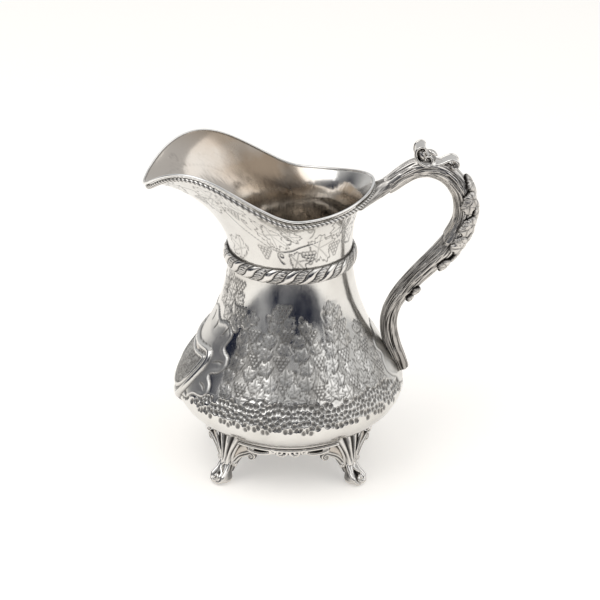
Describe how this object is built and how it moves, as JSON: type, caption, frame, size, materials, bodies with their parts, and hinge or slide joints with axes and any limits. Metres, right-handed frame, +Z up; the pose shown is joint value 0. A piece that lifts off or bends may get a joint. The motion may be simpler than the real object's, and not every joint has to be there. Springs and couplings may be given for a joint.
{
  "type": "silver pouring jug",
  "caption": "Footed silver pouring jug with a pear-shaped body, flared neck and long lip, rope bands, a cast branch handle with vine leaves and scroll feet.",
  "frame": {"origin": "on the floor under the soles, at the middle of the jug's length from the lip to the back of the handle", "axes": "+X from the lip to the handle, +Y to the far side, +Z up"},
  "size_m": [0.221, 0.156, 0.2287],
  "materials": {
    "raised_silver": "polished silver sheet, chased and oxidised in the recesses",
    "rope_silver": "polished twisted wire, dark in the lay",
    "edge_silver": "bright polished wire",
    "cast_silver": "cast and hand-chased silver, oxidised in the recesses"
  },
  "bodies": {
    "root": {"body": "raised_silver", "bottom_disc": "raised_silver", "neck": "raised_silver", "rim_rope": "rope_silver", "rim_edge": "edge_silver", "collar_band": "cast_silver", "handle": "cast_silver", "thumb_scroll": "cast_silver", "vine_leaf_1": "cast_silver", "vine_leaf_2": "cast_silver", "vine_leaf_3": "cast_silver", "vine_leaf_4": "cast_silver", "vine_leaf_5": "cast_silver", "vine_leaf_6": "cast_silver", "vine_leaf_7": "cast_silver", "vine_leaf_8": "cast_silver", "vine_leaf_9": "cast_silver", "vine_leaf_10": "cast_silver", "foot_rear_far": "cast_silver", "foot_front_far": "cast_silver", "foot_front_near": "cast_silver", "foot_rear_near": "cast_silver", "apron_rear": "cast_silver", "apron_far": "cast_silver", "apron_front": "cast_silver", "apron_near": "cast_silver"}
  },
  "joints": []
}
